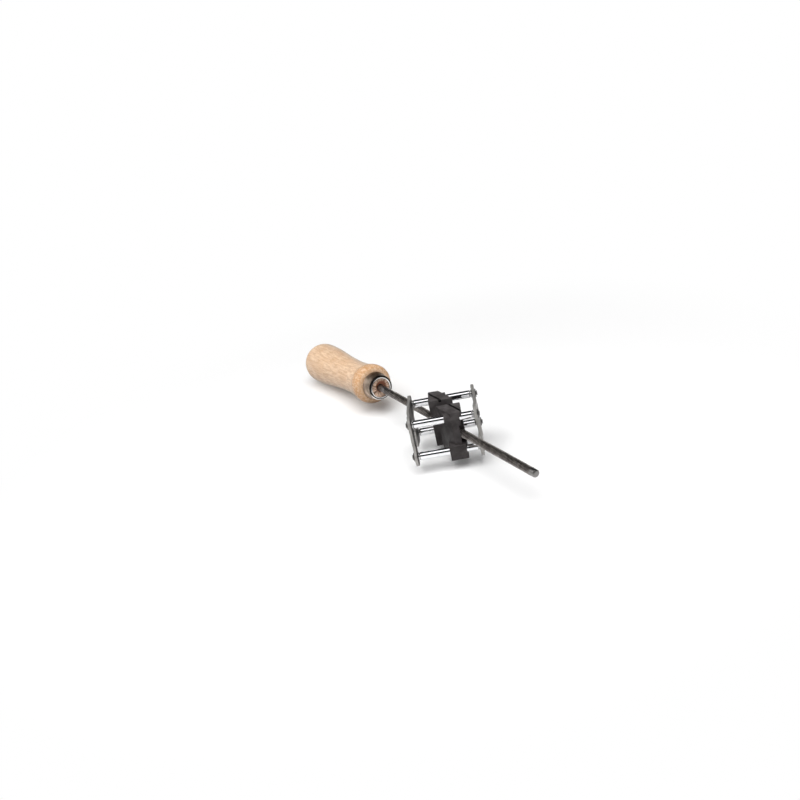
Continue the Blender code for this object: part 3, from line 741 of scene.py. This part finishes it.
def tooth_maker():
    """A sheet wrapped into a tube whose rows climb as a screw with many starts, three rows to a tooth."""
    lengths = ("Length", "Radius", "End Radius", "Pitch", "Depth", "Lead", "Flat", "Twist")
    maker, given, out, names = new_maker("helical file teeth", lengths, ("Strips", "Rows", "Columns", "Seed"))
    seam = plus(maker, given["Columns"], 1.0)
    sheet = {"Size X": 1.0, "Size Y": 1.0, "Vertices X": given["Rows"], "Vertices Y": seam}
    grid = put(maker, "GeometryNodeMeshGrid", sheet).outputs[0]
    at = apart(maker, put(maker, "GeometryNodeInputPosition").outputs[0])
    last_row = minus(maker, given["Rows"], 1.0)
    row = sums(maker, "ROUND", times(maker, plus(maker, at[0], 0.5), last_row))
    round_share = plus(maker, at[1], 0.5)
    tooth = sums(maker, "FLOOR", sums(maker, "DIVIDE", plus(maker, row, 0.5), TOOTH_ROWS))
    point = minus(maker, row, times(maker, tooth, TOOTH_ROWS))
    low_point = sums(maker, "COMPARE", point, 1.0, 0.4)
    crest = sums(maker, "COMPARE", point, 2.0, 0.4)
    phase = plus(maker, times(maker, low_point, LOW_PLACE), times(maker, crest, CREST_PLACE))
    height = plus(maker, times(maker, low_point, LOW_HEIGHT), crest)
    raw = times(maker, plus(maker, tooth, phase), given["Pitch"])
    raw = plus(maker, raw, times(maker, minus(maker, round_share, 1.0), given["Lead"]))
    along = sums(maker, "MINIMUM", sums(maker, "MAXIMUM", raw, 0.0), given["Length"])
    past = sums(maker, "ABSOLUTE", minus(maker, raw, along))
    outside = sums(maker, "GREATER_THAN", past, 0.0)
    beyond = sums(maker, "GREATER_THAN", past, times(maker, given["Pitch"], PAST_END))
    strip_at = times(maker, round_share, given["Strips"])
    strip = sums(maker, "FLOOR", plus(maker, strip_at, 0.001))
    across = minus(maker, minus(maker, strip_at, strip), 0.5)
    dip = minus(maker, 1.0, times(maker, times(maker, across, across), 4.0))
    hilt = minus(maker, given["Radius"], times(maker, dip, given["Flat"]))
    strip = sums(maker, "MODULO", strip, given["Strips"])
    lot = plus(maker, times(maker, tooth, given["Strips"]), strip)
    chance = put(maker, "FunctionNodeRandomValue", {"ID": lot, "Seed": given["Seed"]}, data_type="FLOAT")
    chance.inputs[2].default_value = LEAST_TOOTH
    chance.inputs[3].default_value = 1.0
    rise = times(maker, height, chance.outputs[1])
    to_end = sums(maker, "MINIMUM", along, minus(maker, given["Length"], along))
    fade = spread(maker, to_end, 0.0, TOOTH_RUN_OUT)
    cut = times(maker, times(maker, minus(maker, 1.0, rise), given["Depth"]), fade)
    radius = minus(maker, hilt, cut)
    inside = minus(maker, 1.0, outside)
    radius = plus(maker, times(maker, radius, inside), times(maker, given["End Radius"], outside))
    radius = times(maker, radius, minus(maker, 1.0, beyond))
    angle = plus(maker, times(maker, round_share, 2 * pi), times(maker, along, given["Twist"]))
    y = times(maker, radius, sums(maker, "COSINE", angle))
    z = times(maker, radius, sums(maker, "SINE", angle))
    spot = put(maker, "ShaderNodeCombineXYZ", {0: along, 1: y, 2: z}).outputs[0]
    # Kept for the file's material, which paints the tooth crests lighter as a painted highlight.
    crest_share = times(maker, times(maker, rise, inside), fade)
    mesh = keep_number(maker, grid, "tooth_crest", crest_share)
    # Kept for the file's material, which paints the seams between tooth strips near black as painted shade.
    mesh = keep_number(maker, mesh, "strip_seam", minus(maker, 1.0, dip))
    wrapped = put(maker, "GeometryNodeSetPosition", {"Geometry": mesh, "Position": spot}).outputs[0]
    joined = put(maker, "GeometryNodeMergeByDistance", {"Geometry": wrapped, "Distance": 0.000005})
    closing(maker, joined.outputs[0], given, out)
    return maker, names


shoulder = FILE_REACH - FILE_LENGTH
toothed_start = shoulder + SHANK_LENGTH
tip = FILE_REACH - NOSE_LENGTH

file_steel, tree, shader = new_finish("file steel", roughness=0.5, metallic=1.0)
line = lined_up(tree, FILE_PLACE)
along = apart(tree, line)[0]
marks = handled(tree, line, smudge=90.0)
filings = spread(tree, noise(tree, stretched(tree, line, (1.0, 0.45, 0.45)), 820.0), 0.40, 0.62)
bright = spread(tree, along, tip - 2 * SOFT, tip)
blued = spread(tree, along, shoulder + BLUED_END, shoulder + BLUED_FULL)
tone = mixed(tree, marks["Smudge"], (0.415, 0.380, 0.357), (0.680, 0.637, 0.605))
# Painted highlight: the tooth crests are painted lighter.
tone = over(tree, tone, (0.64, 0.612, 0.585), spread(tree, noted(tree, "tooth_crest"), 0.45, 1.0), 0.75)
# Painted shade: the seams between the tooth strips are painted near black.
tone = over(tree, tone, (0.045, 0.038, 0.033), spread(tree, noted(tree, "strip_seam"), 0.35, 1.0), 0.80)
tone = over(tree, tone, (0.085, 0.072, 0.068), filings, 0.52)
tone = over(tree, tone, (0.26, 0.252, 0.244), bright)
tone = over(tree, tone, (0.16, 0.155, 0.158), blued, 0.55)
coat(tree, shader, tone, spread(tree, bright, 0.0, 1.0, 0.48, 0.42))

toothed_length = tip - toothed_start
sizes = {
    "Length": toothed_length,
    "Radius": FILE / 2,
    "End Radius": NOSE / 2 - 2 * SOFT,
    "Pitch": TOOTH_PITCH,
    "Depth": TOOTH_DEPTH,
    "Lead": TOOTH_PITCH * TOOTH_STARTS,
    "Strips": STRIPS,
    "Flat": STRIP_FLAT,
    "Twist": 2 * pi / TURN_LENGTH,
    "Rows": TOOTH_ROWS * (ceil(toothed_length / TOOTH_PITCH) + TOOTH_STARTS + 2),
    "Columns": COLUMNS,
    "Seed": 7,
    "Material": file_steel,
}
maker, names = tooth_maker()
teeth = made(maker, names, sizes)
bmesh.ops.translate(teeth, verts=teeth.verts, vec=(toothed_start, 0.0, 0.0))
radius = NOSE / 2
nose = [
    (tip - INSERT, 0.0),
    (tip - INSERT, radius - 4 * SOFT),
    (tip - SOFT, radius - 4 * SOFT),
    (tip + 2 * SOFT, radius),
    (FILE_REACH - NOSE_CHAMFER, radius),
    (FILE_REACH - NOSE_CHAMFER + 2 * SOFT, radius - SOFT),
    (FILE_REACH - SOFT, radius - NOSE_CHAMFER + 2 * SOFT),
    (FILE_REACH, radius - NOSE_CHAMFER),
    (FILE_REACH, 0.0),
]
radius = FILE / 2
shank = [
    (shoulder - TANG_LENGTH, 0.0),
    (shoulder - TANG_LENGTH, TANG_POINT / 2),
    (shoulder - TANG_TAPER, TANG_ROOT / 2),
    (shoulder, radius - SOFT),
    (toothed_start - 4 * SOFT, radius - SOFT),
    (toothed_start + 2 * SOFT, radius - 3 * SOFT),
    (toothed_start + INSERT, radius - 5 * SOFT),
    (toothed_start + INSERT, 0.0),
]
for profile in (nose, shank):
    teeth.from_mesh(as_mesh("file part", turned(profile, BAR_STEPS)))
bmesh.ops.transform(teeth, matrix=FILE_PLACE, verts=teeth.verts)
finished("cut_round_file", teeth, file_steel, "file", ["round_file"], smooth_below=32.0)

# Ferrule
# A drawn steel cap ring with a rolled rim is pressed over the handle's neck, so that the tang cannot split
# the wood. Its rim is rubbed bright and painted lighter still as a highlight, ringed by a painted dark
# reflection; its side is stained.
TANG_DRIVE = 0.0030
HANDLE_DROOP = radians(-3.5)
HANDLE_PLACE = FILE_PLACE @ Matrix.Translation((shoulder + TANG_DRIVE, 0.0, 0.0))
HANDLE_PLACE = HANDLE_PLACE @ Matrix.Rotation(HANDLE_DROOP, 4, "Y")
NECK = 0.0166
NECK_LENGTH = 0.0092
FERRULE_LENGTH = 0.0100
FERRULE_WALL = 0.0012
FERRULE_BASE = 0.0209
FERRULE_RIM = 0.0186
RIM_LIP = 0.0011
BASE_FLARE = 0.0011
RIM_STEPS = 6
FERRULE_STEPS = 96


def ferrule_profile():
    """Up the bore, over the small inner bead and the rolled outer one, and down the side."""
    base = FERRULE_BASE / 2
    rim = FERRULE_RIM / 2
    bore = NECK / 2 + PLAY
    back = -NECK_LENGTH + PLAY
    front = back + FERRULE_LENGTH
    lip = rim - FERRULE_WALL - RIM_LIP
    bead = FERRULE_WALL / 2
    turn = radians(90.0 / RIM_STEPS)
    profile = [(back, bore), (PLAY, bore), (PLAY, lip), (front - bead, lip)]
    for i in range(1, RIM_STEPS + 1):
        angle = turn * i - pi / 2
        profile.append((front - bead + bead * cos(angle), lip + bead + bead * sin(angle)))
    for i in range(RIM_STEPS + 1):
        angle = turn * i
        profile.append((front - 1.6 * bead * (1 - cos(angle)), rim - 1.2 * bead * (1 - sin(angle))))
    profile += [(front - 3.2 * bead, rim - SOFT), (front - 4.2 * bead, rim + SOFT)]
    profile += [(back + BASE_FLARE, base - 2 * SOFT), (back + 5 * SOFT, base - SOFT / 2)]
    profile += [(back + 2 * SOFT, base), (back, base - 2 * SOFT)]
    return profile


def from_axis(tree, across, up):
    """The distance from the handle's axis."""
    spot = put(tree, "ShaderNodeCombineXYZ", {1: across, 2: up}).outputs[0]
    return put(tree, "ShaderNodeVectorMath", {0: spot}, operation="LENGTH").outputs["Value"]


ferrule_steel, tree, shader = new_finish("ferrule steel", roughness=0.38, metallic=1.0)
line = lined_up(tree, HANDLE_PLACE)
along, across, up = apart(tree, line)
reach = from_axis(tree, across, up)
marks = handled(tree, line, smudge=220.0, scratch=1800.0, stretch=8.0)
# The rolled rim is rubbed bright and painted lighter still as a painted highlight.
rubbed = spread(tree, along, 0.0002, 0.0007)
# Painted dark reflection: a near-black ring round the rim, reaching further out on the upper side than below.
dark_rim_reach = spread(tree, up, -0.0060, 0.0, 0.0086, 0.0094)
beyond = spread(tree, minus(tree, reach, dark_rim_reach), 0.0, 0.0002)
dark_rim_reflection = minus(tree, spread(tree, reach, 0.0078, 0.0080), beyond)
dark_rim_reflection = times(tree, dark_rim_reflection, spread(tree, along, -0.0002, 0.0002))
tone = mixed(tree, marks["Smudge"], (0.262, 0.205, 0.161), (0.545, 0.445, 0.362))
tone = over(tree, tone, (0.45, 0.43, 0.41), marks["Scratch"], 0.40)
tone = over(tree, tone, (0.82, 0.80, 0.78), rubbed)
tone = over(tree, tone, (0.028, 0.025, 0.023), dark_rim_reflection)
coat(tree, shader, tone, spread(tree, rubbed, 0.0, 1.0, 0.44, 0.20))

ring = turned(ferrule_profile(), FERRULE_STEPS)
bmesh.ops.transform(ring, matrix=HANDLE_PLACE, verts=ring.verts)
finished("rolled_ferrule", ring, ferrule_steel, "file", ["ferrule"], smooth_below=40.0)

# Handle
# Turned from one piece of pale beech: a neck under the ferrule, a rounded collar, a waist for the
# fingers and a palm swell with a round butt. The tang's hole is bored and burnt into the end grain.
HANDLE_LENGTH = 0.1210
PALM = 0.0322
COLLAR = 0.0300
WAIST = 0.0254
COLLAR_LENGTH = 0.0120
COLLAR_SHAPE = [(0.0, 0.77), (0.10, 0.90), (0.26, 0.975), (0.46, 1.0), (0.74, 0.985), (1.0, 0.94)]
BODY_SHAPE = [(0.0, 0.40), (0.12, 0.10), (0.24, 0.0), (0.36, 0.04)]
BODY_SHAPE += [(0.50, 0.22), (0.64, 0.50), (0.78, 0.80), (0.90, 0.96)]
SANDED = 0.00006
CURVE_STEPS = 6
BUTT_STEPS = 24
HANDLE_STEPS = 128
GROWTH_RING = 0.0030
RING_DRIFT = 0.012
RING_SLOPE = 0.35
TURNED_LINE_X = -0.0208


def handle_profile():
    """The CAD's turning points joined by a smooth curve."""
    palm = PALM / 2 - SANDED
    waist = WAIST / 2
    butt = -HANDLE_LENGTH + PALM / 2
    past_butt = (butt - 0.004, palm - 0.0005)
    collar_x = -NECK_LENGTH
    body_x = collar_x - COLLAR_LENGTH
    knots = [(collar_x - share * COLLAR_LENGTH, size * COLLAR / 2) for share, size in COLLAR_SHAPE]
    knots += [(body_x + share * (butt - body_x), waist + size * (palm - waist)) for share, size in BODY_SHAPE]
    knots.append((butt, palm))
    knots = [knots[0]] + knots + [past_butt]
    smooth = []
    for four in zip(knots, knots[1:], knots[2:], knots[3:]):
        for t in [i / CURVE_STEPS for i in range(CURVE_STEPS)]:
            pulls = (2 * t * t - t - t**3, 2 - 5 * t * t + 3 * t**3, t + 4 * t * t - 3 * t**3, t**3 - t * t)
            smooth.append(tuple(0.5 * sum(p * c for p, c in zip(pulls, column)) for column in zip(*four)))
    profile = [(0.0, 0.0), (0.0, NECK / 2 - 2 * SOFT), (-2 * SOFT, NECK / 2), (collar_x, NECK / 2)]
    profile += [(collar_x, COLLAR_SHAPE[0][1] * COLLAR / 2 - 3 * SOFT)] + smooth[1:]
    for i in range(BUTT_STEPS):
        angle = pi / 2 * i / BUTT_STEPS
        profile.append((butt - palm * sin(angle), palm * cos(angle)))
    profile.append((butt - palm, 0.0))
    return profile


def tang_bore():
    """A cutter with the tang's taper, turned back by the handle's droop."""
    deep = -TANG_DRIVE - TANG_LENGTH - PLAY
    profile = [
        (deep, 0.0),
        (deep, TANG_POINT / 2 + PLAY),
        (-TANG_DRIVE - TANG_TAPER, TANG_ROOT / 2 + PLAY),
        (-TANG_DRIVE - PLAY, FILE / 2 + PLAY),
        (2 * OVERRUN, FILE / 2 + PLAY),
        (2 * OVERRUN, 0.0),
    ]
    bm = turned(profile, DRILL_STEPS)
    bmesh.ops.transform(bm, matrix=Matrix.Rotation(-HANDLE_DROOP, 4, "Y"), verts=bm.verts)
    bmesh.ops.recalc_face_normals(bm, faces=bm.faces)
    return bm


beech, tree, shader = new_finish("turned beech", roughness=0.5, Specular_IOR_Level=0.45)
line = lined_up(tree, HANDLE_PLACE)
along, across, up = apart(tree, line)
reach = from_axis(tree, across, up)

drift = noise(tree, stretched(tree, line, (22.0, 90.0, 90.0)), 1.0, 3.0)
pith = plus(tree, across, times(tree, minus(tree, drift, 0.5), RING_DRIFT))
rings = times(tree, plus(tree, pith, times(tree, up, RING_SLOPE)), 2 * pi / GROWTH_RING)
late = spread(tree, sums(tree, "SINE", rings), -0.2, 1.0)
fibre = noise(tree, stretched(tree, line, (60.0, 2200.0, 2200.0)), 1.0, 3.0)
streak = spread(tree, noise(tree, stretched(tree, line, (110.0, 800.0, 800.0)), 1.0, 4.0), 0.36, 0.66)
cells = {"Vector": stretched(tree, line, (360.0, 1150.0, 1150.0)), "Scale": 1.0}
fleck = put(tree, "ShaderNodeTexVoronoi", cells, feature="F1").outputs["Distance"]
fleck = spread(tree, fleck, 0.26, 0.10)
patch = spread(tree, noise(tree, line, 110.0, 3.0), 0.42, 0.66)
tone = mixed(tree, fibre, (0.78, 0.535, 0.355), (0.94, 0.735, 0.540))
tone = over(tree, tone, (0.74, 0.47, 0.27), patch, 0.45)
tone = over(tree, tone, (0.70, 0.44, 0.25), late, 0.26)
tone = over(tree, tone, (0.58, 0.35, 0.195), streak, 0.62)
tone = over(tree, tone, (0.42, 0.22, 0.10), fleck, 0.65)

collar_band = times(tree, spread(tree, along, -0.0235, -0.0185), spread(tree, along, -0.0085, -0.0105))
mottle = spread(tree, noise(tree, line, 700.0, 5.0), 0.40, 0.60, 0.15, 0.85)
# Painted shade: the collar's underside is painted dark brown.
collar_underside_shade = times(tree, collar_band, spread(tree, up, -0.008, -0.013))
turned_line = spread(tree, sums(tree, "ABSOLUTE", minus(tree, along, TURNED_LINE_X)), 0.0008, 0.0002)
grime = spread(tree, along, -0.0108, -0.0094)
tone = over(tree, tone, (0.60, 0.305, 0.125), times(tree, collar_band, mottle))
tone = over(tree, tone, (0.22, 0.13, 0.075), collar_underside_shade, 0.75)
tone = over(tree, tone, (0.45, 0.26, 0.13), turned_line, 0.45)
tone = over(tree, tone, (0.28, 0.17, 0.09), grime, 0.15)

spoke_y = times(tree, sums(tree, "DIVIDE", across, reach), 5.0)
spoke_z = times(tree, sums(tree, "DIVIDE", up, reach), 5.0)
spokes = put(tree, "ShaderNodeCombineXYZ", {0: times(tree, reach, 160.0), 1: spoke_y, 2: spoke_z})
cracked = spread(tree, noise(tree, spokes.outputs[0], 1.0, 3.0), 0.34, 0.60)
scorch = plus(tree, reach, times(tree, plus(tree, across, up), -0.18))
face = mixed(tree, cracked, (0.17, 0.092, 0.055), (0.88, 0.62, 0.46))
face = over(tree, face, (0.17, 0.055, 0.022), spread(tree, scorch, 0.0050, 0.0034))
tone = over(tree, tone, face, spread(tree, along, -0.0030, -0.0010))

# Painted shade: the wood is greyed towards its outline, where its surface turns away from the eye.
facing_for_limb_shade = put(tree, "ShaderNodeLayerWeight", {"Blend": 0.5}).outputs["Facing"]
tone = over(tree, tone, (0.40, 0.36, 0.32), spread(tree, facing_for_limb_shade, 0.70, 1.0), 0.60)
coat(tree, shader, tone, spread(tree, fleck, 0.0, 1.0, 0.46, 0.62))
relieved(tree, shader, minus(tree, times(tree, fibre, 0.6), fleck), depth=0.00004, strength=0.35)

wood = turned(list(reversed(handle_profile())), HANDLE_STEPS)
bmesh.ops.recalc_face_normals(wood, faces=wood.faces)
wood = shaped(wood, [("DIFFERENCE", tang_bore())])
bmesh.ops.transform(wood, matrix=HANDLE_PLACE, verts=wood.verts)
finished("turned_handle", wood, beech, "file", ["handle"], smooth_below=40.0)

# Floor, light and camera
# A pale floor that runs out to white, one broad lamp overhead and a small soft key from the left.
# Bright metal mirrors a smaller white card in place of the overhead lamp, with dark round it.
def studio_sheet(name, finish, half, place):
    """A flat square that is no part of the tool."""
    bm = bmesh.new()
    bmesh.ops.create_grid(bm, x_segments=1, y_segments=1, size=half)
    mesh = as_mesh(name, bm)
    mesh.materials.append(finish)
    flat = added(name, mesh)
    flat.matrix_world = place
    return flat


def lamp(name, place, aim, size, power):
    data = bpy.data.lights.new(name, "AREA")
    data.shape = "SQUARE"
    data.size = size
    data.energy = power
    light = added(name, data)
    light.location = place
    light.rotation_euler = (Vector(aim) - Vector(place)).to_track_quat("-Z", "Y").to_euler()
    return light


floor_white, tree, shader = new_finish("pale floor", roughness=0.9, Specular_IOR_Level=0.0)
rays = put(tree, "ShaderNodeLightPath").outputs
seen = plus(tree, plus(tree, rays["Is Camera Ray"], rays["Is Glossy Ray"]), rays["Is Transmission Ray"])
seen = sums(tree, "MINIMUM", seen, 1.0)
tree.links.new(mixed(tree, seen, (0.45, 0.45, 0.45), (0.97, 0.97, 0.97)), shader.inputs["Base Color"])
away = put(tree, "ShaderNodeVectorMath", {0: on_tool(tree)}, operation="LENGTH").outputs["Value"]
strength = sums(tree, "MULTIPLY_ADD", seen, 0.55, 0.45)
glow = put(tree, "ShaderNodeEmission", {"Color": (1, 1, 1, 1), "Strength": strength}).outputs[0]
share = spread(tree, away, 0.10, 0.33, 0.10, 1.0)
both = put(tree, "ShaderNodeMixShader", {0: share, 1: shader.outputs[0], 2: glow})
tree.links.new(both.outputs[0], tree.nodes["Material Output"].inputs["Surface"])
studio_sheet("floor", floor_white, half=20.0, place=Matrix())

overhead = lamp("overhead", place=(0.0, -0.42, 1.01), aim=(0.0, -0.05, 0.03), size=1.05, power=16.1)
overhead.visible_glossy = False
card_white, tree, shader = new_finish("white card", 0.9, Emission_Color=(1, 1, 1, 1), Emission_Strength=1.15)
card_place = Matrix.Translation((0.0, -0.37, 1.03)) @ overhead.rotation_euler.to_matrix().to_4x4()
card = studio_sheet("card", card_white, half=0.33, place=card_place)
card.visible_diffuse = False
card.visible_shadow = False
lamp("key", place=(-0.90, 0.0, 0.80), aim=(0.0, 0.0, 0.02), size=0.6, power=3.2)

world = bpy.data.worlds.new("studio")
bpy.context.scene.world = world
world.use_nodes = True
tree = world.node_tree
height = apart(tree, put(tree, "ShaderNodeTexCoord").outputs["Generated"])[2]
ramp = put(tree, "ShaderNodeValToRGB", {0: height})
white_up_to, dark_from = ramp.color_ramp.elements
white_up_to.position = 0.185
white_up_to.color = (1.0, 1.0, 1.0, 1)
dark_from.position = 0.215
dark_from.color = (0.015, 0.015, 0.016, 1)
tree.links.new(ramp.outputs[0], tree.nodes["Background"].inputs["Color"])

bpy.context.scene.view_settings.view_transform = "Standard"

azimuth, elevation, roll = radians(6.30), radians(23.13), radians(-12.72)
to_right, to_top, distance = -0.0316, 0.0155, 0.6432
back = Vector((sin(azimuth) * cos(elevation), -cos(azimuth) * cos(elevation), sin(elevation)))
level = Vector((cos(azimuth), sin(azimuth), 0.0))
rise = back.cross(level)
right = cos(roll) * level + sin(roll) * rise
top = cos(roll) * rise - sin(roll) * level
camera_data = bpy.data.cameras.new("camera")
camera_data.sensor_width = 36.0
camera_data.lens = 44.0
camera_data.clip_start = 0.01
camera = added("camera", camera_data)
eye = GUIDE_MIDDLE + (to_right * right + to_top * top + distance * back)
camera.matrix_world = Matrix.Translation(eye) @ Matrix((right, top, back)).transposed().to_4x4()
bpy.context.scene.camera = camera

bpy.context.view_layer.update()
